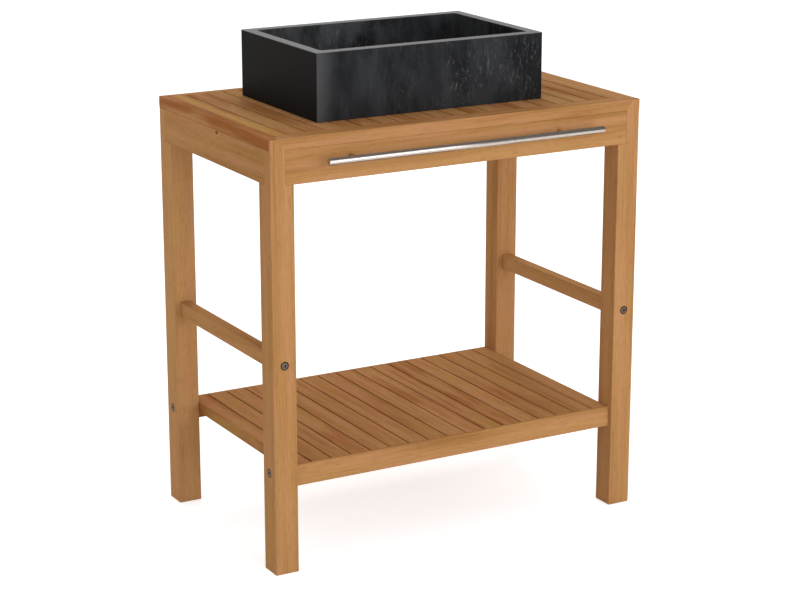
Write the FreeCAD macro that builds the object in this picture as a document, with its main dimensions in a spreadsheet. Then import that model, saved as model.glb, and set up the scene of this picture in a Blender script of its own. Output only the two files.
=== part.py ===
import FreeCAD, Part
import os
import re

# Washstand vanity unit: a teak frame on four legs with a slatted top and a slatted lower shelf, a stone
# vessel basin on the top and a steel towel bar in front of the front apron.
# Frame: x to the right, y to the back, z up, millimetres. The origin is on the floor under the middle of
# the overall box, so the legs stand half the reach of the towel bar behind y = 0.

doc = FreeCAD.newDocument("vanity_unit")

# Driving dimensions: alias, value, meaning.
DIMENSIONS = [
    ("width", 740.0, "overall width over the legs"),
    ("depth", 450.0, "depth over the legs"),
    ("deck_height", 770.0, "floor to the slatted top's surface"),
    ("edge_ease", 1.2, "radius that eases the long edges of the timber"),
    ("leg_side", 44.0, "side of a square leg"),
    ("foot_ease", 1.5, "radius round a leg's foot"),
    ("top_thickness", 20.0, "thickness of the top's frame"),
    ("top_front_width", 33.0, "width of the top's front rail"),
    ("top_back_width", 18.0, "width of the top's back rail"),
    ("top_side_width", 46.5, "width of the top's side rails"),
    ("horn_depth", 4.0, "depth of the leg's horn let into the top's front corner"),
    ("horn_foot_width", 27.0, "width of the horn at its foot"),
    ("horn_head_width", 13.5, "width of the horn at its head"),
    ("slat_gap", 3.0, "gap beside each slat"),
    ("top_slat_count", 18, "slats in the top"),
    ("top_slat_thickness", 15.0, "thickness of a top slat"),
    ("tongue_thickness", 5.0, "thickness of the tongue on a top slat's ends"),
    ("tongue_length", 6.0, "length of the tongue"),
    ("tongue_clearance", 0.5, "room beyond the tongue in its groove"),
    ("apron_height", 60.0, "height of the aprons"),
    ("apron_thickness", 20.0, "thickness of the aprons"),
    ("front_lap", 17.0, "how far the front and back aprons lap into the legs"),
    ("side_lap", 22.0, "how far the side aprons lap into the legs"),
    ("batten_width", 30.0, "width of the battens under the slats"),
    ("batten_thickness", 15.0, "thickness of the battens"),
    ("batten_clearance", 1.5, "room at each end of a batten"),
    ("drain_opening", 70.0, "length of the opening left in the top for the waste"),
    ("drain_slat_count", 2, "slats cut short at that opening"),
    ("shelf_height", 193.0, "floor to the shelf's surface"),
    ("shelf_thickness", 20.0, "thickness of the shelf's slats and side rails"),
    ("shelf_side_width", 32.5, "width of the shelf's side rails"),
    ("shelf_slat_count", 15, "slats in the shelf"),
    ("shelf_rail_height", 38.0, "height of the shelf's front and back rails"),
    ("shelf_rail_thickness", 20.0, "thickness of those rails"),
    ("shelf_lip", 4.5, "lip of those rails beside the slats' ends"),
    ("shelf_front_setback", 8.5, "front of the shelf behind the legs' front"),
    ("shelf_back_setback", 4.0, "back of the shelf in front of the legs' back"),
    ("stretcher_width", 20.0, "thickness of a side stretcher"),
    ("stretcher_height", 28.0, "height of a side stretcher"),
    ("stretcher_level", 378.0, "floor to the middle of a side stretcher"),
    ("bolt_recess_radius", 8.0, "radius of the recess for a bolt head"),
    ("bolt_recess_depth", 6.0, "depth of that recess"),
    ("bolt_head_radius", 6.0, "radius of a bolt's head"),
    ("bolt_head_height", 4.0, "height of the head"),
    ("bolt_shank_radius", 3.0, "radius of the bolt's shank"),
    ("bolt_shank_length", 55.0, "length of the shank under the head"),
    ("bolt_socket_radius", 2.9, "corner radius of the head's hexagon socket"),
    ("bolt_socket_depth", 2.5, "depth of the socket"),
    ("bolt_clearance", 0.3, "radial room round a bolt's shank"),
    ("insert_radius", 5.0, "outer radius of a threaded insert"),
    ("insert_length", 20.0, "length of a threaded insert"),
    ("insert_room", 5.0, "hole left past the insert for the bolt's end"),
    ("basin_width", 455.0, "width of the basin"),
    ("basin_depth", 293.0, "depth of the basin"),
    ("basin_height", 119.0, "height of the basin"),
    ("basin_wall", 20.0, "thickness of the basin's walls"),
    ("basin_floor", 25.0, "thickness of the basin's floor"),
    ("basin_offset_x", -10.0, "middle of the basin from the middle of the top, to the right"),
    ("basin_offset_y", 9.0, "middle of the basin from the middle of the top, to the back"),
    ("basin_outer_radius", 3.0, "radius of the basin's outer corners"),
    ("basin_inner_radius", 8.0, "radius in the bowl's corners"),
    ("basin_rim_ease", 1.0, "radius that eases the basin's rim"),
    ("drain_radius", 22.5, "radius of the basin's drain hole"),
    ("seal_thickness", 1.0, "thickness of the sealant under the basin"),
    ("seal_width", 8.0, "width of the sealant bead"),
    ("seal_inset", 5.0, "sealant inside the basin's outline"),
    ("bar_length", 550.0, "length of the towel bar"),
    ("bar_radius", 6.0, "radius of the towel bar"),
    ("bar_end_ease", 1.0, "radius on the towel bar's ends"),
    ("bar_standoff", 27.0, "apron's face to the towel bar's axis"),
    ("bar_drop", 41.5, "the top's surface to the towel bar's axis"),
    ("post_spacing", 416.0, "distance between the towel bar's posts"),
    ("post_offset", -11.0, "middle of the posts from the middle of the bar"),
    ("post_radius", 4.0, "radius of a post"),
    ("post_seat", 2.5, "how far a post enters the bar past its surface"),
    ("post_clearance", 0.2, "radial room of a post in the bar"),
    ("screw_radius", 2.0, "radius of a post's screw"),
    ("screw_head_radius", 4.0, "radius of the screw's head"),
    ("screw_head_height", 2.5, "height of the screw's head"),
    ("screw_grip", 12.0, "how far the screw goes into the post"),
    ("screw_clearance", 0.2, "radial room round the screw"),
    ("screw_end_room", 1.0, "hole left past the screw's end"),
    ("cut_overrun", 1.0, "how far a cut starts outside the piece"),
]

sheet = doc.addObject("Spreadsheet::Sheet", "Sizes")
for row, (alias, size, meaning) in enumerate(DIMENSIONS, start=1):
    sheet.set(f"A{row}", meaning)
    sheet.set(f"B{row}", str(size))
    sheet.setAlias(f"B{row}", alias)
doc.recompute()

# Derived sizes, as expressions in the aliases.
SHIFT = "((bar_standoff + bar_radius) / 2)"
FRONT = f"({SHIFT} - depth / 2)"
BACK = f"({SHIFT} + depth / 2)"
LEG_TOP = "(deck_height - top_thickness)"
INNER_X = "(width / 2 - leg_side)"
LEG_MID_X = "(width / 2 - leg_side / 2)"
INNER_FRONT = f"({FRONT} + leg_side)"
INNER_BACK = f"({BACK} - leg_side)"
LEG_MID_FRONT = f"({FRONT} + leg_side / 2)"
LEG_MID_BACK = f"({BACK} - leg_side / 2)"
DECK_X = "(width / 2 - top_side_width)"
DECK_FRONT = f"({FRONT} + top_front_width)"
DECK_BACK = f"({BACK} - top_back_width)"
TOP_PITCH = f"((2 * {DECK_X} - slat_gap) / top_slat_count)"
TOP_SLAT_LOW = "(deck_height - top_slat_thickness)"
TONGUE_LOW = f"({TOP_SLAT_LOW} + (top_slat_thickness - tongue_thickness) / 2)"
DRAIN_FRONT = f"({SHIFT} + basin_offset_y - drain_opening / 2)"
DRAIN_BACK = f"({SHIFT} + basin_offset_y + drain_opening / 2)"
SHELF_LOW = "(shelf_height - shelf_thickness)"
SHELF_MID = "(shelf_height - shelf_thickness / 2)"
SHELF_X = f"({INNER_X} - shelf_side_width)"
SHELF_PITCH = f"((2 * {SHELF_X} - slat_gap) / shelf_slat_count)"
SHELF_FRONT = f"({FRONT} + shelf_front_setback)"
SHELF_BACK = f"({BACK} - shelf_back_setback)"
SLATS_FRONT = f"({SHELF_FRONT} + shelf_lip)"
SLATS_BACK = f"({SHELF_BACK} - shelf_lip)"
BOLT_HOLE = "(bolt_shank_radius + bolt_clearance)"
INSERT_HOLE = "(insert_length + insert_room)"
BAR_Y = f"({FRONT} - bar_standoff)"
BAR_LEVEL = "(deck_height - bar_drop)"
BASIN_LOW = "(deck_height + seal_thickness)"
BASIN_X = "(basin_offset_x - basin_width / 2)"
BASIN_Y = f"({SHIFT} + basin_offset_y - basin_depth / 2)"

ALIASES = {alias for alias, size, meaning in DIMENSIONS}
TURNS = {
    "+x": FreeCAD.Rotation(FreeCAD.Vector(0, 1, 0), 90),
    "-x": FreeCAD.Rotation(FreeCAD.Vector(0, 1, 0), -90),
    "+y": FreeCAD.Rotation(FreeCAD.Vector(1, 0, 0), -90),
    "-y": FreeCAD.Rotation(FreeCAD.Vector(1, 0, 0), 90),
    "+z": FreeCAD.Rotation(),
}
PIECES = []


def bind(thing, prop, expression):
    """Ties a property to an expression in the sheet's aliases."""
    text = re.sub(r"[a-z][a-z_]+", lambda word: f"Sizes.{word.group()}", str(expression))
    thing.setExpression(prop, text)


def locate(thing, x, y, z, turn=None):
    """Ties a placement to the sheet, turned by a fixed rotation."""
    if turn is not None:
        thing.Placement = FreeCAD.Placement(FreeCAD.Vector(), turn)
    bind(thing, "Placement.Base.x", x)
    bind(thing, "Placement.Base.y", y)
    bind(thing, "Placement.Base.z", z)


def value(expression):
    """The number that an expression in the aliases has now."""
    names = {alias: float(sheet.get(alias)) for alias in ALIASES}
    text = re.sub(r"[a-z][a-z_]+", lambda word: repr(names[word.group()]), expression)
    cell = f"C{len(DIMENSIONS)}"
    sheet.set(cell, "=" + text)
    sheet.recompute()
    return float(sheet.get(cell))


def new_body(label):
    body = doc.addObject("PartDesign::Body", label)
    body.Label = label
    PIECES.append(body)
    return body


def box(body, kind, low, size):
    """A block added to or taken from a body; kind is Additive or Subtractive."""
    block = body.newObject(f"PartDesign::{kind}Box", f"{kind}Box")
    for prop, length in zip(("Length", "Width", "Height"), size):
        bind(block, prop, length)
    locate(block, *low)
    return block


def drill(body, start, axis, radius, length):
    """A round hole from its mouth along an axis."""
    hole = body.newObject("PartDesign::SubtractiveCylinder", "Hole")
    bind(hole, "Radius", radius)
    bind(hole, "Height", length)
    locate(hole, *start, TURNS[axis])
    return hole


def wedge(body, kind, base, turn, near, far, thickness, rise):
    """A block whose far face is narrower: near and far are (low, high) along its local x."""
    block = body.newObject(f"PartDesign::{kind}Wedge", f"{kind}Wedge")
    spans = {
        "Xmin": near[0],
        "Xmax": near[1],
        "X2min": far[0],
        "X2max": far[1],
        "Ymin": "0",
        "Ymax": rise,
        "Zmin": "0",
        "Z2min": "0",
        "Zmax": thickness,
        "Z2max": thickness,
    }
    for prop, length in spans.items():
        bind(block, prop, length)
    locate(block, *base, turn)
    return block


def ease(body, feature, radius, wanted):
    """Rounds the edges of a feature that the test names."""
    doc.recompute()
    names = [f"Edge{number}" for number, edge in enumerate(feature.Shape.Edges, start=1) if wanted(edge)]
    fillet = body.newObject("PartDesign::Fillet", "Ease")
    fillet.Base = (feature, names)
    bind(fillet, "Radius", radius)
    return fillet


def along(axis):
    """A test for straight edges that run along an axis."""
    direction = TURNS[f"+{axis}"].multVec(FreeCAD.Vector(0, 0, 1))
    edge_share = 0.001

    def test(edge):
        ends = [vertex.Point for vertex in edge.Vertexes]
        if len(ends) < 2 or not isinstance(edge.Curve, Part.Line):
            return False
        return ends[1].sub(ends[0]).normalize().cross(direction).Length < edge_share

    return test


def board(label, low, size, grain):
    """A straight piece of timber with its long edges eased."""
    body = new_body(label)
    block = box(body, "Additive", low, size)
    ease(body, block, "edge_ease", along(grain))
    return body


def group(label, members):
    """Several separate solids kept as one piece of the list."""
    for member in members:
        if member in PIECES:
            PIECES.remove(member)
    bundle = doc.addObject("Part::Compound", label)
    bundle.Label = label
    bundle.Links = members
    PIECES.append(bundle)


# Legs. Each is a square post. The front and back aprons and the side aprons lap into its head, and its
# bolts pass through it in recessed holes. The two front legs have a horn let into the top's front rail.
def make_leg(label, right, back):
    side = 1 if right else -1
    x_low = INNER_X if right else "-width / 2"
    y_low = INNER_BACK if back else FRONT
    body = new_body(label)
    post = box(body, "Additive", (x_low, y_low, "0"), ("leg_side", "leg_side", LEG_TOP))
    ease(body, post, "foot_ease", lambda edge: along("z")(edge) or edge.BoundBox.ZMax < value("leg_side"))
    lap_x = INNER_X if right else f"-{INNER_X} - front_lap"
    lap_y = f"{BACK} - apron_thickness" if back else f"{FRONT} - cut_overrun"
    apron_low = f"{LEG_TOP} - apron_height"
    box(body, "Subtractive", (f"{lap_x} - cut_overrun * {1 if right else 0}", lap_y, apron_low),
        ("front_lap + cut_overrun", "apron_thickness + cut_overrun", "apron_height + cut_overrun"))
    lap_x = "width / 2 - apron_thickness" if right else "-width / 2 - cut_overrun"
    lap_y = f"{INNER_BACK} - cut_overrun" if back else f"{INNER_FRONT} - side_lap"
    box(body, "Subtractive", (lap_x, lap_y, apron_low),
        ("apron_thickness + cut_overrun", "side_lap + cut_overrun", "apron_height + cut_overrun"))
    bolt_x = f"{side} * {LEG_MID_X}"
    face_y, inward = (BACK, "-y") if back else (FRONT, "+y")
    out = f"({'' if back else '-'}cut_overrun)"
    drill(body, (bolt_x, f"{face_y} + {out}", "stretcher_level"), inward,
          "bolt_recess_radius", "bolt_recess_depth + cut_overrun")
    drill(body, (bolt_x, f"{face_y} + {out}", "stretcher_level"), inward,
          BOLT_HOLE, "leg_side + 2 * cut_overrun")
    bolt_y = LEG_MID_BACK if back else LEG_MID_FRONT
    face_x, inward = ("width / 2 + cut_overrun", "-x") if right else ("-width / 2 - cut_overrun", "+x")
    drill(body, (face_x, bolt_y, SHELF_MID), inward, "bolt_recess_radius", "bolt_recess_depth + cut_overrun")
    drill(body, (face_x, bolt_y, SHELF_MID), inward, BOLT_HOLE, "leg_side + 2 * cut_overrun")
    if not back:
        horn(body, "Additive", right)


def horn(body, kind, right):
    """The horn of a front leg, or the notch for it in the top's rails."""
    overrun = "0" if kind == "Additive" else "cut_overrun"
    corner = "width / 2" if right else "-width / 2"
    near = ("-horn_foot_width", overrun) if right else (f"-{overrun}", "horn_foot_width")
    far = ("-horn_head_width", overrun) if right else (f"-{overrun}", "horn_head_width")
    wedge(body, kind, (corner, f"{FRONT} + horn_depth", LEG_TOP), TURNS["-y"],
          near, far, f"horn_depth + {overrun}", "top_thickness")


make_leg("leg_front_left", right=False, back=False)
make_leg("leg_front_right", right=True, back=False)
make_leg("leg_back_left", right=False, back=True)
make_leg("leg_back_right", right=True, back=True)

# Aprons under the top, half lapped into the legs and flush with their outer faces.
for label, y_low in (("apron_front", FRONT), ("apron_back", f"{BACK} - apron_thickness")):
    apron = board(
        label,
        (f"-({INNER_X} + front_lap)", y_low, f"{LEG_TOP} - apron_height"),
        (f"2 * ({INNER_X} + front_lap)", "apron_thickness", "apron_height"),
        "x",
    )
    if label == "apron_front":
        for side in (-1, 1):
            post_x = f"post_offset + {side} * post_spacing / 2"
            drill(apron, (post_x, f"{FRONT} - cut_overrun", BAR_LEVEL), "+y",
                  "screw_radius + screw_clearance", "apron_thickness + 2 * cut_overrun")
for label, x_low in (("apron_left", "-width / 2"), ("apron_right", "width / 2 - apron_thickness")):
    board(
        label,
        (x_low, f"{INNER_FRONT} - side_lap", f"{LEG_TOP} - apron_height"),
        ("apron_thickness", "depth - 2 * leg_side + 2 * side_lap", "apron_height"),
        "y",
    )


# Top frame: four rails mitred at the corners. The front and back rails are grooved for the slats' tongues.
def make_top_rail(label, base, turn, near, far, rise, grain):
    body = new_body(label)
    rail = wedge(body, "Additive", base, turn, near, far, "top_thickness", rise)
    ease(body, rail, "edge_ease", along(grain))
    return body


def plain_turn(degrees):
    return FreeCAD.Rotation(FreeCAD.Vector(0, 0, 1), degrees)


WHOLE_X = ("-width / 2", "width / 2")
INSIDE_X = (f"-{DECK_X}", DECK_X)
top_front = make_top_rail("top_rail_front", ("0", FRONT, LEG_TOP), plain_turn(0),
                          WHOLE_X, INSIDE_X, "top_front_width", "x")
top_back = make_top_rail("top_rail_back", ("0", BACK, LEG_TOP), plain_turn(180),
                         WHOLE_X, INSIDE_X, "top_back_width", "x")
top_left = make_top_rail(
    "top_rail_left", ("-width / 2", SHIFT, LEG_TOP), plain_turn(-90), ("-depth / 2", "depth / 2"),
    ("-(depth / 2 - top_back_width)", "depth / 2 - top_front_width"), "top_side_width", "y")
top_right = make_top_rail(
    "top_rail_right", ("width / 2", SHIFT, LEG_TOP), plain_turn(90), ("-depth / 2", "depth / 2"),
    ("-(depth / 2 - top_front_width)", "depth / 2 - top_back_width"), "top_side_width", "y")

GROOVE_DEPTH = "(tongue_length + tongue_clearance)"
box(top_front, "Subtractive", (f"-{DECK_X}", f"{DECK_FRONT} - {GROOVE_DEPTH}", TONGUE_LOW),
    (f"2 * {DECK_X}", f"{GROOVE_DEPTH} + cut_overrun", "tongue_thickness"))
box(top_back, "Subtractive", (f"-{DECK_X}", f"{DECK_BACK} - cut_overrun", TONGUE_LOW),
    (f"2 * {DECK_X}", f"{GROOVE_DEPTH} + cut_overrun", "tongue_thickness"))
horn(top_front, "Subtractive", right=False)
horn(top_front, "Subtractive", right=True)
horn(top_left, "Subtractive", right=False)
horn(top_right, "Subtractive", right=True)


# Top slats, with a gap beside each. The two in the middle are cut short in front of and behind the
# opening that the basin's waste goes down through, and each end there rests on a batten.
def top_slat_x(number):
    return f"(-{DECK_X} + slat_gap + {number} * {TOP_PITCH})"


def top_slat(body, number, y_low, y_high, tongues):
    width = f"{TOP_PITCH} - slat_gap"
    slat = box(body, "Additive", (top_slat_x(number), y_low, TOP_SLAT_LOW),
               (width, f"{y_high} - {y_low}", "top_slat_thickness"))
    ease(body, slat, "edge_ease", along("y"))
    if "front" in tongues:
        box(body, "Additive", (top_slat_x(number), f"{y_low} - tongue_length", TONGUE_LOW),
            (width, "2 * tongue_length", "tongue_thickness"))
    if "back" in tongues:
        box(body, "Additive", (top_slat_x(number), f"{y_high} - tongue_length", TONGUE_LOW),
            (width, "2 * tongue_length", "tongue_thickness"))


top_count = int(value("top_slat_count"))
short_count = int(value("drain_slat_count"))
short_first = (top_count - short_count) // 2
short_numbers = range(short_first, short_first + short_count)
for number in range(top_count):
    if number in short_numbers:
        continue
    slat = new_body(f"top_slat_{number + 1:02d}")
    top_slat(slat, number, DECK_FRONT, DECK_BACK, ("front", "back"))
for end, y_low, y_high in (("front", DECK_FRONT, DRAIN_FRONT), ("back", DRAIN_BACK, DECK_BACK)):
    halves = []
    for number in short_numbers:
        half = new_body(f"short_slat_{end}_{number + 1:02d}")
        top_slat(half, number, y_low, y_high, (end,))
        halves.append(half)
    group(f"top_slats_short_{end}", halves)

# Battens under the top slats, one on each side of the waste opening.
batten_length = f"2 * ({DECK_X} - batten_clearance)"
battens = []
for end, y_low in (("front", f"{DRAIN_FRONT} - batten_width"), ("back", DRAIN_BACK)):
    batten = board(
        f"top_batten_{end}",
        (f"-({DECK_X} - batten_clearance)", y_low, f"{TOP_SLAT_LOW} - batten_thickness"),
        (batten_length, "batten_width", "batten_thickness"),
        "x",
    )
    battens.append(batten)
group("top_battens", battens)


# Shelf: front and back rails with a rebate that carries the slats and the side rails, between the legs.
def shelf_cross_rail(label, y_low, rebate_y):
    body = board(label, (f"-{INNER_X}", y_low, "shelf_height - shelf_rail_height"),
                 (f"2 * {INNER_X}", "shelf_rail_thickness", "shelf_rail_height"), "x")
    box(body, "Subtractive", (f"-{INNER_X} - cut_overrun", rebate_y, SHELF_LOW),
        (f"2 * {INNER_X} + 2 * cut_overrun", "shelf_rail_thickness - shelf_lip + cut_overrun",
         "shelf_thickness + cut_overrun"))
    return body


shelf_cross_rail("shelf_rail_front", SHELF_FRONT, SLATS_FRONT)
shelf_cross_rail("shelf_rail_back", f"{SHELF_BACK} - shelf_rail_thickness",
                 f"{SHELF_BACK} - shelf_rail_thickness - cut_overrun")
shelf_span = f"{SLATS_BACK} - {SLATS_FRONT}"
for label, x_low, face, inward in (
    ("shelf_rail_left", f"-{INNER_X}", f"-{INNER_X} - cut_overrun", "+x"),
    ("shelf_rail_right", SHELF_X, f"{INNER_X} + cut_overrun", "-x"),
):
    rail = board(label, (x_low, SLATS_FRONT, SHELF_LOW),
                 ("shelf_side_width", shelf_span, "shelf_thickness"), "y")
    for bolt_y in (LEG_MID_FRONT, LEG_MID_BACK):
        drill(rail, (face, bolt_y, SHELF_MID), inward, "insert_radius", f"{INSERT_HOLE} + cut_overrun")

for number in range(int(value("shelf_slat_count"))):
    board(
        f"shelf_slat_{number + 1:02d}",
        (f"-{SHELF_X} + slat_gap + {number} * {SHELF_PITCH}", SLATS_FRONT, SHELF_LOW),
        (f"{SHELF_PITCH} - slat_gap", shelf_span, "shelf_thickness"),
        "y",
    )
board(
    "shelf_batten",
    (f"-({SHELF_X} - batten_clearance)", f"{SHIFT} - batten_width / 2", f"{SHELF_LOW} - batten_thickness"),
    (f"2 * ({SHELF_X} - batten_clearance)", "batten_width", "batten_thickness"),
    "x",
)

# Side stretchers between the front and back legs, with a threaded insert in each end.
for label, side in (("stretcher_left", -1), ("stretcher_right", 1)):
    middle = f"{side} * {LEG_MID_X}"
    stretcher = board(
        label,
        (f"{middle} - stretcher_width / 2", INNER_FRONT, "stretcher_level - stretcher_height / 2"),
        ("stretcher_width", "depth - 2 * leg_side", "stretcher_height"),
        "y",
    )
    drill(stretcher, (middle, f"{INNER_FRONT} - cut_overrun", "stretcher_level"), "+y",
          "insert_radius", f"{INSERT_HOLE} + cut_overrun")
    drill(stretcher, (middle, f"{INNER_BACK} + cut_overrun", "stretcher_level"), "-y",
          "insert_radius", f"{INSERT_HOLE} + cut_overrun")


# Bolts and inserts. The bolts come in from the outside of the legs: at the stretchers from the front
# and the back, at the shelf from the sides. They are turned parts with plain shanks for threads.
def rod(name, start, axis, radius, length):
    cylinder = doc.addObject("Part::Cylinder", name)
    bind(cylinder, "Radius", radius)
    bind(cylinder, "Height", length)
    locate(cylinder, *start, TURNS[axis])
    return cylinder


def cut(name, base, tool):
    result = doc.addObject("Part::Cut", name)
    result.Base = base
    result.Tool = tool
    return result


def shifted(start, axis, distance):
    """A point moved along an axis by an expression."""
    sign = "+" if axis[0] == "+" else "-"
    return tuple(
        f"{place} {sign} ({distance})" if letter == axis[1] else place for place, letter in zip(start, "xyz")
    )


def make_bolt(name, mouth, axis):
    seat = shifted(mouth, axis, "bolt_recess_depth")
    face = shifted(mouth, axis, "bolt_recess_depth - bolt_head_height")
    head = rod(f"{name}_head", face, axis, "bolt_head_radius", "bolt_head_height")
    shank = rod(f"{name}_shank", seat, axis, "bolt_shank_radius", "bolt_shank_length")
    whole = doc.addObject("Part::Fuse", f"{name}_blank")
    whole.Base = head
    whole.Tool = shank
    socket = doc.addObject("Part::Prism", f"{name}_socket")
    socket.Polygon = 6
    bind(socket, "Circumradius", "bolt_socket_radius")
    bind(socket, "Height", "bolt_socket_depth + cut_overrun")
    locate(socket, *shifted(face, axis, "-cut_overrun"), TURNS[axis])
    return cut(name, whole, socket)


def make_insert(name, mouth, axis):
    sleeve = rod(f"{name}_sleeve", mouth, axis, "insert_radius", "insert_length")
    bore = rod(f"{name}_bore", shifted(mouth, axis, "-cut_overrun"), axis,
               BOLT_HOLE, "insert_length + 2 * cut_overrun")
    return cut(name, sleeve, bore)


bolts = []
inserts = []
for row_name, mid_y, face_y, seat_y, inward in (
    ("front", LEG_MID_FRONT, FRONT, INNER_FRONT, "+y"),
    ("back", LEG_MID_BACK, BACK, INNER_BACK, "-y"),
):
    for side_name, side in (("left", -1), ("right", 1)):
        middle = f"{side} * {LEG_MID_X}"
        across = "-x" if side > 0 else "+x"
        bolts.append(make_bolt(f"stretcher_bolt_{row_name}_{side_name}",
                               (middle, face_y, "stretcher_level"), inward))
        bolts.append(make_bolt(f"shelf_bolt_{row_name}_{side_name}",
                               (f"{side} * width / 2", mid_y, SHELF_MID), across))
        inserts.append(make_insert(f"stretcher_insert_{row_name}_{side_name}",
                                   (middle, seat_y, "stretcher_level"), inward))
        inserts.append(make_insert(f"shelf_insert_{row_name}_{side_name}",
                                   (f"{side} * {INNER_X}", mid_y, SHELF_MID), across))
for label, members in (("leg_bolts", bolts), ("insert_nuts", inserts)):
    group(label, members)

# Basin: a rectangular stone vessel with a drain hole through its floor, bedded on a bead of sealant.
basin = new_body("basin")
block = box(basin, "Additive", (BASIN_X, BASIN_Y, BASIN_LOW), ("basin_width", "basin_depth", "basin_height"))
ease(basin, block, "basin_outer_radius", along("z"))
bowl = box(
    basin, "Subtractive",
    (f"{BASIN_X} + basin_wall", f"{BASIN_Y} + basin_wall", f"{BASIN_LOW} + basin_floor"),
    ("basin_width - 2 * basin_wall", "basin_depth - 2 * basin_wall",
     "basin_height - basin_floor + cut_overrun"),
)
doc.recompute()
rim_level = value(f"{BASIN_LOW} + basin_height")
bowl_floor = value(f"{BASIN_LOW} + basin_floor")
bowl_low_x = value(f"{BASIN_X} + basin_wall / 2")
bowl_high_x = value(f"{BASIN_X} + basin_width - basin_wall / 2")
basin_slack = value("basin_floor / 2")


def in_bowl(edge):
    """The bowl's four upright corners and the four edges of its floor."""
    bounds = edge.BoundBox
    inside = bowl_low_x < bounds.XMin and bounds.XMax < bowl_high_x
    return inside and bounds.ZMin > bowl_floor - basin_slack and bounds.ZMin < rim_level - basin_slack


bowl_round = ease(basin, bowl, "basin_inner_radius", in_bowl)
ease(basin, bowl_round, "basin_rim_ease", lambda edge: edge.BoundBox.ZMin > rim_level - basin_slack)
drill(basin, ("basin_offset_x", f"{SHIFT} + basin_offset_y", f"{BASIN_LOW} - cut_overrun"), "+z",
      "drain_radius", "basin_floor + 2 * cut_overrun")

seal = new_body("basin_sealant")
box(seal, "Additive", (f"{BASIN_X} + seal_inset", f"{BASIN_Y} + seal_inset", "deck_height"),
    ("basin_width - 2 * seal_inset", "basin_depth - 2 * seal_inset", "seal_thickness"))
box(seal, "Subtractive",
    (f"{BASIN_X} + seal_inset + seal_width", f"{BASIN_Y} + seal_inset + seal_width",
     "deck_height - cut_overrun"),
    ("basin_width - 2 * seal_inset - 2 * seal_width", "basin_depth - 2 * seal_inset - 2 * seal_width",
     "seal_thickness + 2 * cut_overrun"))

# Towel bar on two posts, each held by a screw from behind the front apron.
bar = new_body("towel_bar")
rail = bar.newObject("PartDesign::AdditiveCylinder", "Rail")
bind(rail, "Radius", "bar_radius")
bind(rail, "Height", "bar_length")
locate(rail, "-bar_length / 2", BAR_Y, BAR_LEVEL, TURNS["+x"])
ease(bar, rail, "bar_end_ease", lambda edge: isinstance(edge.Curve, Part.Circle))
posts = []
screws = []
post_end = f"({BAR_Y} + bar_radius - post_seat)"
for side_name, side in (("left", -1), ("right", 1)):
    post_x = f"post_offset + {side} * post_spacing / 2"
    drill(bar, (post_x, post_end, BAR_LEVEL), "+y", "post_radius + post_clearance", "bar_radius")
    shaft = rod(f"post_{side_name}_shaft", (post_x, post_end, BAR_LEVEL), "+y",
                "post_radius", f"{FRONT} - {post_end}")
    thread = rod(f"post_{side_name}_thread", (post_x, f"{FRONT} + cut_overrun", BAR_LEVEL), "-y",
                 "screw_radius + screw_clearance", "screw_grip + screw_end_room + cut_overrun")
    posts.append(cut(f"post_{side_name}", shaft, thread))
    screw = doc.addObject("Part::Fuse", f"post_screw_{side_name}")
    screw.Base = rod(f"post_screw_{side_name}_head",
                     (post_x, f"{FRONT} + apron_thickness + screw_head_height", BAR_LEVEL), "-y",
                     "screw_head_radius", "screw_head_height")
    screw.Tool = rod(f"post_screw_{side_name}_shank",
                     (post_x, f"{FRONT} + apron_thickness", BAR_LEVEL), "-y",
                     "screw_radius", "apron_thickness + screw_grip")
    screws.append(screw)
for label, members in (("towel_bar_posts", posts), ("towel_bar_screws", screws)):
    group(label, members)

# Every object must have recomputed, and every piece must be a valid shape, before anything is written.
doc.recompute()
for thing in doc.Objects:
    if "Invalid" in thing.State or "Error" in thing.State:
        raise RuntimeError(f"{thing.Name} failed: {thing.State}")
for piece in PIECES:
    if piece.Shape.isNull() or not piece.Shape.isValid():
        raise RuntimeError(f"{piece.Label} has no valid shape")
os.makedirs("parts", exist_ok=True)
for piece in PIECES:
    piece.Shape.exportStep(f"parts/{piece.Label}.step")
print(len(PIECES), "pieces,", sum(len(piece.Shape.Solids) for piece in PIECES), "solids")
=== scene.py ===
import math
import random

import bpy
from mathutils import Euler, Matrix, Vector


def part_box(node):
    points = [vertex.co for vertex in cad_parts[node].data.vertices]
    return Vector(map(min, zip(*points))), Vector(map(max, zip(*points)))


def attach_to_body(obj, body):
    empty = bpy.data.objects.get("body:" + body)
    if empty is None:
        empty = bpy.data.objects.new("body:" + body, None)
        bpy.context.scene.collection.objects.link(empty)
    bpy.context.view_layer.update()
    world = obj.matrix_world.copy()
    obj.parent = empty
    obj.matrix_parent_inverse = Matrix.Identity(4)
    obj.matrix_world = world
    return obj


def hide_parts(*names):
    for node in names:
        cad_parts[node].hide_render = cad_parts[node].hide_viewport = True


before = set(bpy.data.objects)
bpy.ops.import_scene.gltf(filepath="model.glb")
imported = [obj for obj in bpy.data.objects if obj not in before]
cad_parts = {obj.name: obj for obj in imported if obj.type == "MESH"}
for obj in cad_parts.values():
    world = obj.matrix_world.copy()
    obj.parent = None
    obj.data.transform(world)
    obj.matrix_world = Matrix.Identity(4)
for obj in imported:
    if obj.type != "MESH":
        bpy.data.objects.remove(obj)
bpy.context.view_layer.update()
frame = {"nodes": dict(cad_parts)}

NODES = frame["nodes"]

# Camera: standing to the left in front of the unit and looking down on it a little
CAMERA_PLACE = (-1.97545, -3.48319, 1.53140)
CAMERA_DIP = math.radians(15.851)
CAMERA_TURN = math.radians(29.480)
LENS = 101.81
SENSOR_WIDTH = 36.0

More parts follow.
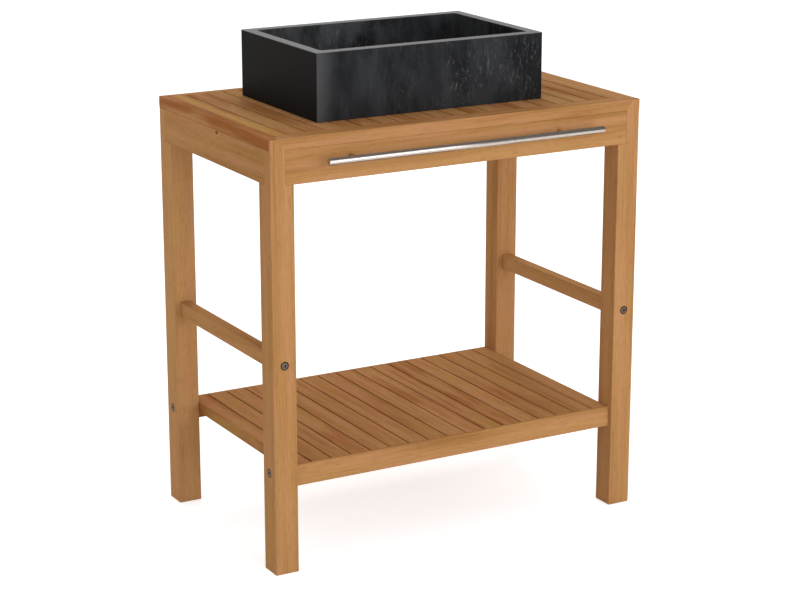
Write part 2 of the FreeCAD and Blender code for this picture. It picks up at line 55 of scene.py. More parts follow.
# Studio: a soft sky, a lamp behind to the right, a wide lamp in front.
# Sky strengths go from the front to the back, between the two values of the direction's Y.
FLOOR_SIDE = 60.0
FLOOR_COLOUR = (0.86, 0.86, 0.86, 1)
FLOOR_ROUGHNESS = 0.9
FLOOR_GLOW = 0.60
WHITE = (1, 1, 1, 1)
SKY = dict(start=-0.45, end=0.55, low=0.62, high=0.76)
MIRRORED_SKY = dict(start=0.15, end=0.85, low=0.24, high=0.95)
LAMPS = {
    "lamp_back_right": dict(
        place=(1.15, 2.45, 2.8), size=0.7, watts=19.0, colour=(1.0, 0.99, 0.97)),
    "lamp_front": dict(
        place=(0.5, -3.6, 1.2), size=2.8, watts=62.0, colour=(0.95, 0.99, 1.10)),
}
LAMP_TARGET = (0.0, 0.0, 0.5)

# Teak: the colours of a board, from its dark late wood to its pale early wood, and of its marks
TEAK_DARK = (0.270, 0.112, 0.032, 1)
TEAK_MIDDLE = (0.475, 0.238, 0.082, 1)
TEAK_PALE = (0.600, 0.335, 0.130, 1)
TEAK_RED = (0.350, 0.118, 0.034, 1)
TEAK_ROSE = (0.560, 0.270, 0.125, 1)
TEAK_OLIVE = (0.430, 0.228, 0.066, 1)
TEAK_SAPWOOD = (0.580, 0.330, 0.095, 1)
KNOT_COLOUR = (0.120, 0.040, 0.018, 1)
END_GRAIN = (0.150, 0.062, 0.022, 1)

# Teak: its rings, in metres, and how far they wander off round
RING_SPACING = 0.0062
RING_UNEVENNESS = 2.6
LATE_WOOD_POWER = 2.2
WANDER = (0.030, 0.030, 0.0)
RIPPLE = (0.0028, 0.0028, 0.0)
HEART_NEAR, HEART_FAR = 0.045, 0.130
GRAIN_TILT = math.radians(1.1)
SEED_STEPS = (3.17, 5.71, 7.93)

# Teak: how strong each mark is
MEAN_SHADE = 0.55
SHADE_STRENGTHS = {"broad": 0.75, "streaks": 0.45, "hairs": 0.35, "blotches": 0.50}
PORE_STRENGTH = 0.42
KNOT_STRETCH = (1, 1, 0.42)
KNOT_RIPPLE = (0.6, 0.6, 0)
LEAST_SAPWOOD_WIDTH, LEAST_KNOT_SIZE = 0.001, 0.00001
TEAK_SHEEN = 0.005
TEAK_ROUGHNESS, STREAK_ROUGHNESS, PORE_ROUGHNESS = 0.47, 0.16, 0.12
STREAK_HEIGHT, PORE_HEIGHT, LATE_WOOD_HEIGHT = 0.55, 0.5, 0.25
GRAIN_DEPTH = 0.0004

# Noises: lumps per metre along X, Y and Z, detail and roughness. A board's grain runs along Z.
TEAK_NOISES = {
    "wander": ((7, 7, 2.2), 1.0, 0.5),
    "ripple": ((60, 60, 9), 2.0, 0.5),
    "uneven": ((28, 28, 0.8), 1.0, 0.5),
    "broad": ((34, 34, 1.3), 2.0, 0.5),
    "streaks": ((260, 260, 4.5), 4.0, 0.6),
    "hairs": ((900, 900, 14), 2.0, 0.6),
    "blotches": ((16, 16, 3.5), 3.0, 0.5),
    "pores": ((1100, 1100, 45), 1.0, 0.5),
    "patches": ((24, 24, 6), 2.0, 0.5),
    "bands": ((75, 75, 3.5), 2.0, 0.5),
}
MARBLE_NOISES = {
    "bend": ((18, 18, 9), 3.0, 0.5),
    "clouds": ((22, 22, 9), 5.0, 0.6),
    "patches": ((15, 15, 10), 2.0, 0.5),
    "specks": ((1100, 1100, 800), 1.0, 0.5),
}
BENT_MARBLE_NOISES = {
    "hairs": ((260, 260, 44), 4.0, 0.65),
    "swirls": ((38, 38, 17), 3.0, 0.6),
}
METAL_NOISES = {"marks": ((40, 40, 40), 3.0, 0.5)}

# Smooth steps: where one starts and ends, and where it isn't 0 to 1, its level before and after
TEAK_STEPS = {
    "ring_end": (1.0, 0.86),
    "pores": (0.60, 0.70),
    "red": (0.38, 0.62, 0.12),
    "olive": (0.46, 0.30),
    "rose": (0.42, 0.64, 0.0, 0.55),
    "sapwood_edge": (1.3, 0.1),
    "sapwood_streaks": (0.30, 0.62),
    "knot_ring": (2.6, 1.6, 0.0, 0.40),
    "knot": (1.4, 0.4, 0.0, 0.85),
    "end_grain": (0.0009, 0.0001, 0.0, 0.60),
}
MARBLE_STEPS = {
    "right_part": (0.10, 0.30, 0.2),
    "left_part": (0.34, 0.18, 0.5, 2.0),
    "front_half": (0.20, 0.05),
    "back_half": (0.05, 0.20),
    "patches": (0.36, 0.60),
    "veins": (0.55, 0.70),
    "swirl_line": (0.16, 0.02),
    "swirl_breaks": (0.42, 0.62),
    "specks": (0.62, 0.75),
    "clouds": (0.30, 0.72),
    "off_left_wall": (0.0004, 0.0040),
    "haze": (0.38, 0.62, 0.0, 0.20),
    "painted_highlight": (0.052, -0.010),
    "front_wall": (0.0012, 0.0004),
    "rim": (-0.0012, 0.0),
    "rim_clouds": (0.1, 0.6, 0.75),
}

# Marble, in the order in which it is laid down
MARBLE_BLACK = (0.0130, 0.0135, 0.0140, 1)
MARBLE_GREY = (0.0360, 0.0375, 0.0390, 1)
# Painted shade: a darker colour for the basin's outer left wall
MARBLE_LEFT_SHADE = (0.0100, 0.0086, 0.0076, 1)
MARBLE_VEIN = (0.150, 0.150, 0.148, 1)
# A pale grey for the painted highlight at the front wall's left edge
MARBLE_PAINTED_HIGHLIGHT = (0.105, 0.105, 0.105, 1)
# A pale grey painted on the rim as light from above
MARBLE_RIM_LIGHT = (0.235, 0.232, 0.228, 1)
MARBLE_BEND = (0.022, 0.022, 0.0)
SWIRLS = 9.0
LEFT_WALL_SHARE = 0.15
VEIN_STRENGTH, SWIRL_STRENGTH, SPECK_STRENGTH = 0.24, 0.34, 0.08
HIGHLIGHT_POWER, HIGHLIGHT_STRENGTH = 1.6, 0.75
MARBLE_SHEEN = 0.02
MARBLE_ROUGHNESS, CLOUD_ROUGHNESS = 0.40, 0.16
HAIR_HEIGHT, SPECK_HEIGHT = 0.5, 0.5
MARBLE_DEPTH = 0.0002

# Metal and sealant: colour, lines per metre along X, Y and Z, and least roughness
STEEL_LOOK = dict(Metal=(0.60, 0.53, 0.47, 1), Lines=(12, 1600, 1600), Base_Roughness=0.03)
ZINC_LOOK = dict(Metal=(0.150, 0.118, 0.092, 1), Lines=(700, 700, 700), Base_Roughness=0.38)
SEALANT_LOOK = dict(Metal=(0.55, 0.56, 0.55, 1), Lines=(90, 90, 90), Base_Roughness=0.25)
METAL_DULLED = (0.80, 0.79, 0.78, 1)
LINE_DETAIL = 3.0
LINE_STEP = (0.3, 0.7)
LINE_ROUGHNESS, MARK_ROUGHNESS = 0.10, 0.08
STEEL_DEPTH, ZINC_DEPTH, SEALANT_DEPTH = 0.00002, 0.00003, 0.0001
BUMP_STRENGTH = 0.6

# Towel bar and bolts. A bolt goes in at a point of a leg's front, back or outer face.
SMOOTH_BELOW = math.radians(40)
BAR_SIDES, BAR_ROUND, BAR_ROUND_STEPS, BAR_CLEAR = 96, 0.0009, 5, 0.00004
BAR_DISH, BAR_DISH_EDGE = 0.0003, 0.35
BOLT_SIDES, SHANK_RADIUS, SHANK_LENGTH = 64, 0.003, 0.055
HEAD_RADIUS, HEAD_HEIGHT, HEAD_ROUND, HEAD_ROUND_STEPS, HEAD_SUNK = 0.006, 0.004, 0.0008, 4, 0.002
SOCKET_SIDES, SOCKET_RADIUS, SOCKET_DEPTH = 6, 0.0029, 0.0025
END_FACING, FLAT_FACING, ON_AXIS = 0.9, 0.99, 0.0001
BOLT_PLACES = (
    ("front_left", (-0.348, -0.2085, 0.378), (0, -1, 0)),
    ("front_right", (0.348, -0.2085, 0.378), (0, -1, 0)),
    ("back_left", (-0.348, 0.2415, 0.378), (0, 1, 0)),
    ("back_right", (0.348, 0.2415, 0.378), (0, 1, 0)),
    ("left_front", (-0.370, -0.1865, 0.183), (-1, 0, 0)),
    ("left_back", (-0.370, 0.2195, 0.183), (-1, 0, 0)),
    ("right_front", (0.370, -0.1865, 0.183), (1, 0, 0)),
    ("right_back", (0.370, 0.2195, 0.183), (1, 0, 0)),
)

# Boards: the axis of the grain where it isn't the longest one, and the turn of each axis to Z
GRAIN_AXES = {"top_battens": 0, "shelf_batten": 0}
TURNS_TO_Z = ((0, -math.pi / 2, 0), (math.pi / 2, 0, 0), (0, 0, 0))
TEAK_WORDS = ("leg_", "apron_", "top_rail", "top_slat", "top_batten", "shelf_", "stretcher_")
BOARD_SEED = 11

# How the boards look. The first line that a board's name starts with is its own.
KNOT_PLACE = (-0.010, -0.0250, -0.0195)
TEAK_LOOKS = {
    "leg_front": dict(Tone=0.06, Redness=0.05, Figure=0.13),
    # The back legs are set paler, the back left one most, as painted light on inner faces that the
    # front lamp reaches less
    "leg_back_left": dict(Tone=0.60, Redness=0.08, Figure=0.14),
    "leg_back": dict(Tone=0.12, Redness=0.08, Figure=0.14),
    "apron_front": dict(Tone=-0.08, Redness=0.05, Figure=0.12),
    "apron_left": dict(
        Tone=0.02, Redness=0.10, Figure=0.15, Knot=KNOT_PLACE, Knot_Size=0.0030),
    "top_rail_left": dict(
        Tone=-0.18, Redness=0.90, Figure=0.16,
        Sapwood=0.8, Sapwood_Place=0.010, Sapwood_Width=0.014),
    "shelf_rail_left": dict(Tone=-0.14, Redness=0.85, Figure=0.14),
    "top_rail_front": dict(Tone=-0.14, Redness=0.18, Figure=0.14),
    # The stretchers are set paler, the right one most, as painted light on these inner pieces
    "stretcher_right": dict(Tone=0.85, Redness=0.08, Figure=0.14),
    "stretcher_left": dict(Tone=0.12, Redness=0.12, Figure=0.14),
    "shelf_rail_front": dict(Tone=0.04, Redness=0.05, Figure=0.12),
}
DEFAULT_LOOK = dict(Tone=0.0, Redness=0.10, Figure=0.16)
SLAT_TONES, SLAT_REDS, SLAT_FIGURE = (-0.16, 0.22), (0.10, 0.90), 0.20

FLOAT, VECTOR, COLOUR = "NodeSocketFloat", "NodeSocketVector", "NodeSocketColor"


# Shader building
def add(tree, kind, inputs=None, **settings):
    """A new shader node. Its inputs are numbers or the sockets that feed them."""
    made = tree.nodes.new(kind)
    for name, value in settings.items():
        setattr(made, name, value)
    for name, value in (inputs or {}).items():
        if isinstance(value, bpy.types.NodeSocket):
            tree.links.new(value, made.inputs[name])
        else:
            made.inputs[name].default_value = value
    return made


def maths(tree, operation, first, second=0.0, clamp=False):
    inputs = {0: first, 1: second}
    return add(tree, "ShaderNodeMath", inputs, operation=operation, use_clamp=clamp).outputs[0]


def plus(tree, first, second, clamp=False):
    return maths(tree, "ADD", first, second, clamp)


def minus(tree, first, second, clamp=False):
    return maths(tree, "SUBTRACT", first, second, clamp)


def times(tree, first, second, clamp=False):
    return maths(tree, "MULTIPLY", first, second, clamp)


def vector_maths(tree, operation, first, second=(0, 0, 0)):
    made = add(tree, "ShaderNodeVectorMath", {0: first, 1: second}, operation=operation)
    return made.outputs["Value" if operation == "LENGTH" else "Vector"]


def ramp(tree, value, start, end, low=0.0, high=1.0):
    """Low before start, high after end, and a smooth step between them."""
    inputs = {"Value": value, "From Min": start, "From Max": end, "To Min": low, "To Max": high}
    return add(tree, "ShaderNodeMapRange", inputs, interpolation_type="SMOOTHSTEP").outputs[0]


def mixed(tree, factor, first, second, blend="MIX"):
    inputs = {0: factor, 6: first, 7: second}
    made = add(tree, "ShaderNodeMix", inputs, data_type="RGBA", blend_type=blend)
    return made.outputs[2]


def noise_set(tree, vector, table):
    """The noises of a table by name: their values, and their colours."""
    values, colours = {}, {}
    for name, (per_metre, detail, roughness) in table.items():
        scaled = vector_maths(tree, "MULTIPLY", vector, per_metre)
        inputs = {"Vector": scaled, "Scale": 1.0, "Detail": detail, "Roughness": roughness}
        values[name], colours[name] = add(tree, "ShaderNodeTexNoise", inputs).outputs
    return values, colours


def new_group(name, inputs, outputs):
    """An empty shader node group with those sockets, and its input and output sockets."""
    group = bpy.data.node_groups.new(name, "ShaderNodeTree")
    for title, kind in inputs.items():
        group.interface.new_socket(title, in_out="INPUT", socket_type=kind)
    for title, kind in outputs.items():
        group.interface.new_socket(title, in_out="OUTPUT", socket_type=kind)
    return group, add(group, "NodeGroupInput").outputs, add(group, "NodeGroupOutput").inputs


def give(tree, result, colour, roughness, height):
    """Links a group's three results."""
    tree.links.new(colour, result["Color"])
    tree.links.new(roughness, result["Roughness"])
    tree.links.new(height, result["Height"])


RESULTS = dict(Color=COLOUR, Roughness=FLOAT, Height=FLOAT)


# Materials
def make_teak_group():
    """One teak board with its grain along Z.

    It has growth rings, streaks, pores, patches of red and olive, sapwood, a knot and dark ends.
    """
    inputs = dict(
        Vector=VECTOR, Heart=VECTOR, Seed=FLOAT, Tone=FLOAT, Redness=FLOAT, Figure=FLOAT,
        Sapwood=FLOAT, Sapwood_Place=FLOAT, Sapwood_Width=FLOAT,
        Knot=VECTOR, Knot_Size=FLOAT, Half_Length=FLOAT)
    tree, given, result = new_group("teak_board", inputs, RESULTS)
    seeds = {axis: times(tree, given["Seed"], step) for axis, step in enumerate(SEED_STEPS)}
    shift = add(tree, "ShaderNodeCombineXYZ", seeds).outputs[0]
    place = vector_maths(tree, "ADD", given["Vector"], shift)
    noise, noise_colour = noise_set(tree, place, TEAK_NOISES)

    # Rings about the tree's heart, which wander a little along the board
    wander = vector_maths(tree, "SUBTRACT", noise_colour["wander"], (0.5, 0.5, 0.5))
    wander = vector_maths(tree, "MULTIPLY", wander, WANDER)
    ripple = vector_maths(tree, "MULTIPLY", noise_colour["ripple"], RIPPLE)
    from_heart = vector_maths(tree, "ADD", given["Vector"], given["Heart"])
    from_heart = vector_maths(tree, "MULTIPLY", from_heart, (1, 1, 0))
    from_heart = vector_maths(tree, "ADD", from_heart, wander)
    from_heart = vector_maths(tree, "ADD", from_heart, ripple)
    ring = maths(tree, "DIVIDE", vector_maths(tree, "LENGTH", from_heart), RING_SPACING)
    ring = plus(tree, ring, times(tree, noise["uneven"], RING_UNEVENNESS))
    share = maths(tree, "FRACT", ring)
    late_wood = maths(tree, "POWER", share, LATE_WOOD_POWER)
    late_wood = times(tree, late_wood, ramp(tree, share, *TEAK_STEPS["ring_end"]))

    # The shade runs from 0, dark, over a half, middling, to 1, pale
    shade = plus(tree, MEAN_SHADE, times(tree, given["Tone"], 0.5))
    shade = minus(tree, shade, times(tree, late_wood, given["Figure"]))
    for name, strength in SHADE_STRENGTHS.items():
        around_zero = minus(tree, noise[name], 0.5)
        shade = plus(tree, shade, times(tree, around_zero, strength))
    darker = times(tree, shade, 2.0, clamp=True)
    paler = minus(tree, times(tree, shade, 2.0), 1.0, clamp=True)
    colour = mixed(tree, darker, TEAK_DARK, TEAK_MIDDLE)
    colour = mixed(tree, paler, colour, TEAK_PALE)

    # Patches of red and of olive, and rose bands
    red = ramp(tree, noise["patches"], *TEAK_STEPS["red"])
    red = times(tree, given["Redness"], red, clamp=True)
    colour = mixed(tree, red, colour, TEAK_RED)
    olive = ramp(tree, noise["patches"], *TEAK_STEPS["olive"])
    olive = times(tree, given["Redness"], olive, clamp=True)
    colour = mixed(tree, olive, colour, TEAK_OLIVE)
    rose = ramp(tree, noise["bands"], *TEAK_STEPS["rose"])
    colour = mixed(tree, rose, colour, TEAK_ROSE)

    # A stripe of pale sapwood along the board
    wandering = vector_maths(tree, "ADD", given["Vector"], wander)
    sideways = add(tree, "ShaderNodeSeparateXYZ", {0: wandering}).outputs[0]
    off_stripe = maths(tree, "ABSOLUTE", minus(tree, sideways, given["Sapwood_Place"]))
    width = maths(tree, "MAXIMUM", given["Sapwood_Width"], LEAST_SAPWOOD_WIDTH)
    off_stripe = maths(tree, "DIVIDE", off_stripe, width)
    stripe = times(tree, ramp(tree, off_stripe, *TEAK_STEPS["sapwood_edge"]), given["Sapwood"])
    broken = ramp(tree, noise["streaks"], *TEAK_STEPS["sapwood_streaks"])
    stripe = times(tree, stripe, broken, clamp=True)
    colour = mixed(tree, stripe, colour, TEAK_SAPWOOD)

    # A small knot: dark, with a paler ring of grain round it
    knot_reach = vector_maths(tree, "SUBTRACT", given["Vector"], given["Knot"])
    knot_reach = vector_maths(tree, "MULTIPLY", knot_reach, KNOT_STRETCH)
    knot_ripple = vector_maths(tree, "MULTIPLY", ripple, KNOT_RIPPLE)
    knot_reach = vector_maths(tree, "LENGTH", vector_maths(tree, "ADD", knot_reach, knot_ripple))
    knot_size = maths(tree, "MAXIMUM", given["Knot_Size"], LEAST_KNOT_SIZE)
    knot_reach = maths(tree, "DIVIDE", knot_reach, knot_size)
    colour = mixed(tree, ramp(tree, knot_reach, *TEAK_STEPS["knot_ring"]), colour, TEAK_SAPWOOD)
    colour = mixed(tree, ramp(tree, knot_reach, *TEAK_STEPS["knot"]), colour, KNOT_COLOUR)

    # The pores, then the dark end grain
    pores = ramp(tree, noise["pores"], *TEAK_STEPS["pores"])
    colour = mixed(tree, times(tree, pores, PORE_STRENGTH), colour, TEAK_DARK)
    along = add(tree, "ShaderNodeSeparateXYZ", {0: given["Vector"]}).outputs[2]
    to_end = minus(tree, given["Half_Length"], maths(tree, "ABSOLUTE", along))
    colour = mixed(tree, ramp(tree, to_end, *TEAK_STEPS["end_grain"]), colour, END_GRAIN)

    roughness = plus(tree, TEAK_ROUGHNESS, times(tree, noise["streaks"], STREAK_ROUGHNESS))
    roughness = plus(tree, roughness, times(tree, pores, PORE_ROUGHNESS))
    height = times(tree, noise["streaks"], STREAK_HEIGHT)
    height = minus(tree, height, times(tree, pores, PORE_HEIGHT))
    height = minus(tree, height, times(tree, late_wood, LATE_WOOD_HEIGHT))
    give(tree, result, colour, roughness, height)
    return tree


def make_marble_group():
    """Honed black marble: grey clouds, and fine pale veins that stand upright.

    Corner is the basin's upper front left corner. The veins gather at the right in front and
    at the left behind.
    """
    tree, given, result = new_group("black_marble", dict(Vector=VECTOR, Corner=VECTOR), RESULTS)
    place = given["Vector"]
    reach = vector_maths(tree, "SUBTRACT", place, given["Corner"])
    rightwards, backwards, upwards = add(tree, "ShaderNodeSeparateXYZ", {0: reach}).outputs
    noise, noise_colour = noise_set(tree, place, MARBLE_NOISES)
    bend = vector_maths(tree, "MULTIPLY", noise_colour["bend"], MARBLE_BEND)
    bent = vector_maths(tree, "ADD", place, bend)
    bent_noise, _ = noise_set(tree, bent, BENT_MARBLE_NOISES)
    hairs = bent_noise["hairs"]

    # Where the veins gather
    in_front = times(tree, ramp(tree, rightwards, *MARBLE_STEPS["right_part"]),
                     ramp(tree, backwards, *MARBLE_STEPS["front_half"]))
    behind = times(tree, ramp(tree, rightwards, *MARBLE_STEPS["left_part"]),
                   ramp(tree, backwards, *MARBLE_STEPS["back_half"]))
    patches = ramp(tree, noise["patches"], *MARBLE_STEPS["patches"])
    patches = times(tree, patches, plus(tree, in_front, behind))

    # Fine veins, broken lines that swirl, and specks
    fine_veins = times(tree, ramp(tree, hairs, *MARBLE_STEPS["veins"]), patches)
    swirls = maths(tree, "FRACT", times(tree, bent_noise["swirls"], SWIRLS))
    off_line = maths(tree, "ABSOLUTE", minus(tree, swirls, 0.5))
    lines = times(tree, ramp(tree, off_line, *MARBLE_STEPS["swirl_line"]), patches)
    lines = times(tree, lines, ramp(tree, hairs, *MARBLE_STEPS["swirl_breaks"]))
    specks = ramp(tree, noise["specks"], *MARBLE_STEPS["specks"])

    # The ground, with painted shade that makes the outer left wall darker, and a haze inside at the
    # back
    clouds = ramp(tree, noise["clouds"], *MARBLE_STEPS["clouds"])
    colour = mixed(tree, clouds, MARBLE_BLACK, MARBLE_GREY)
    off_left = ramp(tree, rightwards, *MARBLE_STEPS["off_left_wall"])
    unshaded_share = maths(tree, "MAXIMUM", off_left, LEFT_WALL_SHARE)
    colour = mixed(tree, unshaded_share, MARBLE_LEFT_SHADE, colour)
    haze = times(tree, behind, ramp(tree, noise["clouds"], *MARBLE_STEPS["haze"]))
    colour = mixed(tree, times(tree, haze, off_left, clamp=True), colour, MARBLE_VEIN)

    # The veins and specks
    veining = plus(tree, times(tree, fine_veins, VEIN_STRENGTH), times(tree, lines, SWIRL_STRENGTH))
    colour = mixed(tree, times(tree, veining, off_left, clamp=True), colour, MARBLE_VEIN)
    colour = mixed(tree, times(tree, specks, SPECK_STRENGTH), colour, MARBLE_VEIN)

    # The front wall gets a painted highlight, paler towards its left edge, for light caught at that
    # corner
    painted_highlight = maths(tree, "POWER", ramp(tree, rightwards, *MARBLE_STEPS["painted_highlight"]), HIGHLIGHT_POWER)
    painted_highlight = times(tree, painted_highlight, ramp(tree, backwards, *MARBLE_STEPS["front_wall"]))
    colour = mixed(tree, times(tree, painted_highlight, HIGHLIGHT_STRENGTH), colour, MARBLE_PAINTED_HIGHLIGHT)

    # Painted light: the rim's top is painted paler than the honed walls, in cloudy patches, as
    # where light from above falls on it
    rim_light = times(tree, ramp(tree, upwards, *MARBLE_STEPS["rim"]),
                   ramp(tree, noise["clouds"], *MARBLE_STEPS["rim_clouds"]))
    colour = mixed(tree, rim_light, colour, MARBLE_RIM_LIGHT)

    roughness = plus(tree, MARBLE_ROUGHNESS, times(tree, noise["clouds"], CLOUD_ROUGHNESS))
    height = plus(tree, times(tree, hairs, HAIR_HEIGHT), times(tree, specks, SPECK_HEIGHT))
    give(tree, result, colour, roughness, height)
    return tree


def make_metal_group():
    """Drawn or turned metal: fine lines along the drawing direction and faint handling marks."""
    inputs = dict(Vector=VECTOR, Metal=COLOUR, Lines=VECTOR, Base_Roughness=FLOAT)
    tree, given, result = new_group("drawn_metal", inputs, RESULTS)
    scaled = vector_maths(tree, "MULTIPLY", given["Vector"], given["Lines"])
    line_inputs = {"Vector": scaled, "Scale": 1.0, "Detail": LINE_DETAIL}
    lines = add(tree, "ShaderNodeTexNoise", line_inputs).outputs[0]
    noise, _ = noise_set(tree, given["Vector"], METAL_NOISES)
    dull = mixed(tree, 1.0, given["Metal"], METAL_DULLED, "MULTIPLY")
    colour = mixed(tree, ramp(tree, lines, *LINE_STEP), dull, given["Metal"])
    roughness = plus(tree, given["Base_Roughness"], times(tree, lines, LINE_ROUGHNESS))
    roughness = plus(tree, roughness, times(tree, noise["marks"], MARK_ROUGHNESS))
    give(tree, result, colour, roughness, lines)
    return tree


def new_material(name):
    """A material with only its output node."""
    material = bpy.data.materials.new(name)
    material.use_nodes = True
    tree = material.node_tree
    tree.nodes.clear()
    return material, tree, add(tree, "ShaderNodeOutputMaterial")


def finish_of(name, group, group_inputs, depth, mapping=None, **shader):
    """A material whose group gives colour, roughness and height to one Principled shader."""
    material, tree, output = new_material(name)
    place = add(tree, "ShaderNodeTexCoord").outputs["Object"]
    if mapping:
        place = add(tree, "ShaderNodeMapping", {"Vector": place, **mapping}).outputs[0]
    look = add(tree, "ShaderNodeGroup", node_tree=group)
    tree.links.new(place, look.inputs["Vector"])
    for title, value in group_inputs.items():
        look.inputs[title].default_value = value
    bump = add(tree, "ShaderNodeBump", {
        "Height": look.outputs["Height"], "Strength": BUMP_STRENGTH, "Distance": depth})
    surface = add(tree, "ShaderNodeBsdfPrincipled", {
        "Base Color": look.outputs["Color"], "Roughness": look.outputs["Roughness"],
        "Normal": bump.outputs[0], **shader})
    tree.links.new(surface.outputs[0], output.inputs["Surface"])
    return material


def wear(node_name, material):
    """Gives a CAD node its material."""
    for holder in NODES[node_name].material_slots:
        holder.material = material


# The camera and the studio
def make_camera():
    turn = (math.pi / 2 - CAMERA_DIP, 0, -CAMERA_TURN)
    bpy.ops.object.camera_add(location=CAMERA_PLACE, rotation=turn)
    camera = bpy.context.object
    camera.name = "camera"
    camera.data.sensor_width = SENSOR_WIDTH
    camera.data.lens = LENS
    bpy.context.scene.camera = camera


def make_floor():
    """A white studio floor that takes the shadow.

    It glows a little for the camera and in reflections, and sheds no light by that.
    """
    bpy.ops.mesh.primitive_plane_add(size=FLOOR_SIDE)
    floor = bpy.context.object
    floor.name = "floor"
    material, tree, output = new_material("studio_floor")
    rays = add(tree, "ShaderNodeLightPath").outputs
    seen = maths(tree, "MAXIMUM", rays["Is Camera Ray"], rays["Is Glossy Ray"])
    seen = maths(tree, "MAXIMUM", seen, rays["Is Transmission Ray"])
    surface = add(tree, "ShaderNodeBsdfPrincipled", {
        "Base Color": FLOOR_COLOUR, "Roughness": FLOOR_ROUGHNESS, "Specular IOR Level": 0.0,
        "Emission Color": WHITE, "Emission Strength": times(tree, seen, FLOOR_GLOW)})
    tree.links.new(surface.outputs[0], output.inputs["Surface"])
    floor.data.materials.append(material)


def make_sky():
    """A sky that is paler behind the unit than in front of it, and plain white to the camera.

    Reflections see a greater difference between front and back than the light has.
    """
    world = bpy.data.worlds.new("studio")
    bpy.context.scene.world = world
    world.use_nodes = True
    tree = world.node_tree
    tree.nodes.clear()
    rays = add(tree, "ShaderNodeLightPath").outputs
    direction = add(tree, "ShaderNodeTexCoord").outputs["Generated"]
    backwards = add(tree, "ShaderNodeSeparateXYZ", {0: direction}).outputs[1]
    spread = ramp(tree, backwards, **SKY)
    difference = minus(tree, ramp(tree, backwards, **MIRRORED_SKY), spread)
    strength = plus(tree, spread, times(tree, rays["Is Glossy Ray"], difference))
    soft = add(tree, "ShaderNodeBackground", {"Color": WHITE, "Strength": strength})
    white = add(tree, "ShaderNodeBackground", {"Color": WHITE, "Strength": 1.0})
    blend = add(tree, "ShaderNodeMixShader", {
        0: maths(tree, "MAXIMUM", rays["Is Camera Ray"], rays["Is Transmission Ray"]),
        1: soft.outputs[0], 2: white.outputs[0]})
    tree.links.new(blend.outputs[0], add(tree, "ShaderNodeOutputWorld").inputs["Surface"])


def make_lamps():
    for name, lamp in LAMPS.items():
        away = Vector(lamp["place"]) - Vector(LAMP_TARGET)
        turn = away.to_track_quat("Z", "Y").to_euler()
        bpy.ops.object.light_add(type="AREA", location=lamp["place"], rotation=turn)
        light = bpy.context.object
        light.name = name
        light.data.size = lamp["size"]
        light.data.energy = lamp["watts"]
        light.data.color = lamp["colour"]


# Teak boards
def is_teak(name):
    return name.startswith(TEAK_WORDS)


def look_of(name, chance):
    """How a board looks: its own look if it has one, and for a slat a tone of its own."""
    if "slat" in name:
        tone = chance.uniform(*SLAT_TONES)
        return dict(Tone=tone, Redness=chance.uniform(*SLAT_REDS), Figure=SLAT_FIGURE)
    known = [look for start, look in TEAK_LOOKS.items() if name.startswith(start)]
    return dict(known[0] if known else DEFAULT_LOOK)


def board_mapping(low, high, axis, chance):
    """Centres a board on zero and turns its grain along Z, a little off its edges."""
    tilt = Euler([chance.uniform(-GRAIN_TILT, GRAIN_TILT) for _ in range(2)] + [0])
    turn = tilt.to_matrix() @ Euler(TURNS_TO_Z[axis]).to_matrix()
    return {"Location": -(turn @ ((low + high) / 2)), "Rotation": turn.to_euler()}


def make_boards(group):
    chance = random.Random(BOARD_SEED)
    for number, name in enumerate(sorted(filter(is_teak, NODES))):
        low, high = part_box(name)
        size = high - low
        axis = GRAIN_AXES.get(name, max(range(3), key=lambda i: size[i]))
        mapping = board_mapping(low, high, axis, chance)
        side = chance.uniform(0, 2 * math.pi)
        reach = chance.uniform(HEART_NEAR, HEART_FAR)
        heart = (reach * math.cos(side), reach * math.sin(side), 0)
        inputs = dict(
            Seed=number + 1.0, Half_Length=size[axis] / 2, Heart=heart, **look_of(name, chance))
        material = finish_of("teak_" + name, group, inputs, GRAIN_DEPTH, mapping,
                             **{"Specular IOR Level": TEAK_SHEEN})
        wear(name, material)


# Towel bar and bolts
def pick_faces(piece, wanted):
    """Selects only the faces whose centre and normal suit, in edit mode."""
    bpy.ops.mesh.select_all(action="DESELECT")
    bpy.ops.object.mode_set(mode="OBJECT")
    for face in piece.data.polygons:
        face.select = wanted(face.center, face.normal)
    bpy.ops.object.mode_set(mode="EDIT")


def pick_object(piece):
    """Selects only this object, and makes it the active one."""
    bpy.ops.object.select_all(action="DESELECT")
    piece.select_set(True)
    bpy.context.view_layer.objects.active = piece


def attach(piece, material, stands_for):
    """Finishes a new piece that has been put in its place.

    Its place goes into its mesh, and it gets its shading, material and body. The CAD node that
    it stands for is hidden.
    """
    pick_object(piece)
    bpy.ops.object.transform_apply(location=True, rotation=True, scale=True)
    bpy.ops.object.shade_smooth_by_angle(angle=SMOOTH_BELOW)
    piece.data.materials.clear()
    piece.data.materials.append(material)
    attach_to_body(piece, "root")
    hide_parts(stands_for)


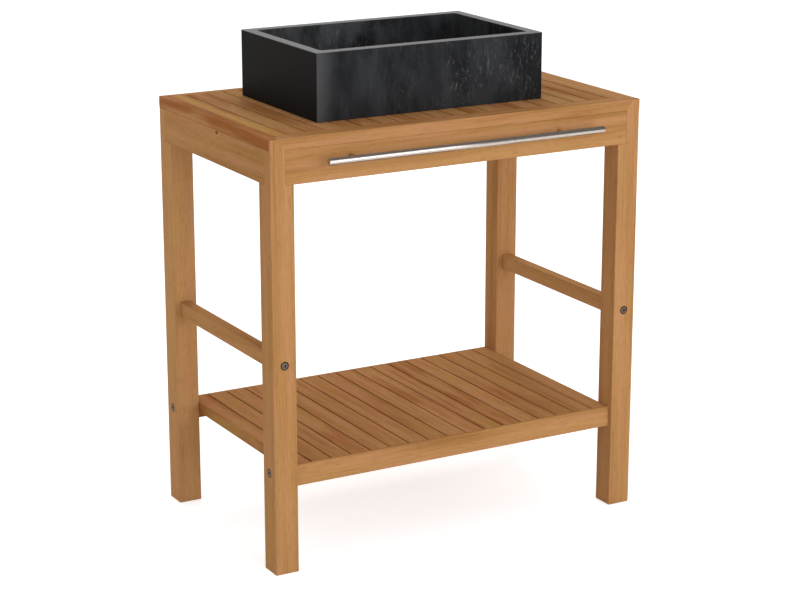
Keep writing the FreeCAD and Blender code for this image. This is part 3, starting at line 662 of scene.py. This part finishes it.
def make_towel_bar(material):
    """The bar, with its ends turned to a small round edge and a shallow dish."""
    low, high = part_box("towel_bar")
    radius, length = (high.y - low.y) / 2 - BAR_CLEAR, high.x - low.x
    bpy.ops.mesh.primitive_cylinder_add(
        vertices=BAR_SIDES, radius=radius, depth=length, end_fill_type="NGON")
    bar = bpy.context.object
    bar.name = "towel_bar_turned"
    bpy.ops.object.mode_set(mode="EDIT")
    pick_faces(bar, lambda centre, normal: abs(normal.z) > END_FACING)
    bpy.ops.mesh.bevel(offset=BAR_ROUND, segments=BAR_ROUND_STEPS, affect="EDGES")
    pick_faces(bar, lambda centre, normal: abs(normal.z) > FLAT_FACING)
    bpy.ops.mesh.inset(thickness=radius * BAR_DISH_EDGE)
    for end in (1, -1):
        pick_faces(bar, lambda centre, normal: (
            end * normal.z > FLAT_FACING and Vector(centre[:2]).length < ON_AXIS))
        bpy.ops.transform.translate(value=(0, 0, -end * BAR_DISH))
    bpy.ops.object.mode_set(mode="OBJECT")
    bar.rotation_euler = (0, math.pi / 2, 0)
    bar.location = (low + high) / 2
    attach(bar, material, "towel_bar")


def make_first_bolt():
    """A bolt along Z with its head's face at zero: rounded head, hexagon socket and shank."""
    bpy.ops.mesh.primitive_cylinder_add(
        vertices=BOLT_SIDES, radius=HEAD_RADIUS, depth=HEAD_HEIGHT,
        location=(0, 0, -HEAD_HEIGHT / 2), end_fill_type="NGON")
    bolt = bpy.context.object
    bpy.ops.object.mode_set(mode="EDIT")
    pick_faces(bolt, lambda centre, normal: normal.z < -END_FACING)
    bpy.ops.mesh.inset(thickness=HEAD_RADIUS - SHANK_RADIUS)
    bpy.ops.mesh.extrude_region_move(TRANSFORM_OT_translate={"value": (0, 0, -SHANK_LENGTH)})
    pick_faces(bolt, lambda centre, normal: normal.z > END_FACING)
    bpy.ops.mesh.bevel(offset=HEAD_ROUND, segments=HEAD_ROUND_STEPS, affect="EDGES")
    bpy.ops.object.mode_set(mode="OBJECT")
    bpy.ops.mesh.primitive_cylinder_add(
        vertices=SOCKET_SIDES, radius=SOCKET_RADIUS, depth=SOCKET_DEPTH * 2)
    socket = bpy.context.object
    pick_object(bolt)
    cut = bolt.modifiers.new("socket", "BOOLEAN")
    cut.operation, cut.solver, cut.object = "DIFFERENCE", "EXACT", socket
    bpy.ops.object.modifier_apply(modifier="socket")
    bpy.data.objects.remove(socket)
    return bolt


def make_bolts(material):
    """Eight bolts, each a copy of the first one with its own mesh, turned to face its way out."""
    first = make_first_bolt()
    bolts = [first]
    for _ in BOLT_PLACES[1:]:
        pick_object(first)
        bpy.ops.object.duplicate()
        bolts.append(bpy.context.object)
    for bolt, (name, face, outwards) in zip(bolts, BOLT_PLACES):
        bolt.name = "bolt_" + name
        outwards = Vector(outwards)
        bolt.rotation_euler = outwards.to_track_quat("Z", "Y").to_euler()
        bolt.location = Vector(face) - HEAD_SUNK * outwards
        attach(bolt, material, "leg_bolts")


# Stone, metal and sealant
def make_fittings():
    low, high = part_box("basin")
    corner = dict(Corner=(low.x, low.y, high.z))
    marble = finish_of("honed_black_marble", make_marble_group(), corner, MARBLE_DEPTH,
                       **{"Specular IOR Level": MARBLE_SHEEN})
    wear("basin", marble)
    metal = make_metal_group()
    steel = finish_of("satin_steel", metal, STEEL_LOOK, STEEL_DEPTH, Metallic=1.0)
    zinc = finish_of("zinc_plate", metal, ZINC_LOOK, ZINC_DEPTH, Metallic=1.0)
    for name in ("towel_bar", "towel_bar_posts"):
        wear(name, steel)
    for name in ("towel_bar_screws", "leg_bolts", "insert_nuts"):
        wear(name, zinc)
    make_towel_bar(steel)
    make_bolts(zinc)
    wear("basin_sealant", finish_of("clear_sealant", metal, SEALANT_LOOK, SEALANT_DEPTH))


bpy.ops.object.select_all(action="DESELECT")
bpy.context.scene.view_settings.view_transform = "Standard"
make_camera()
make_floor()
make_sky()
make_lamps()
make_boards(make_teak_group())
make_fittings()
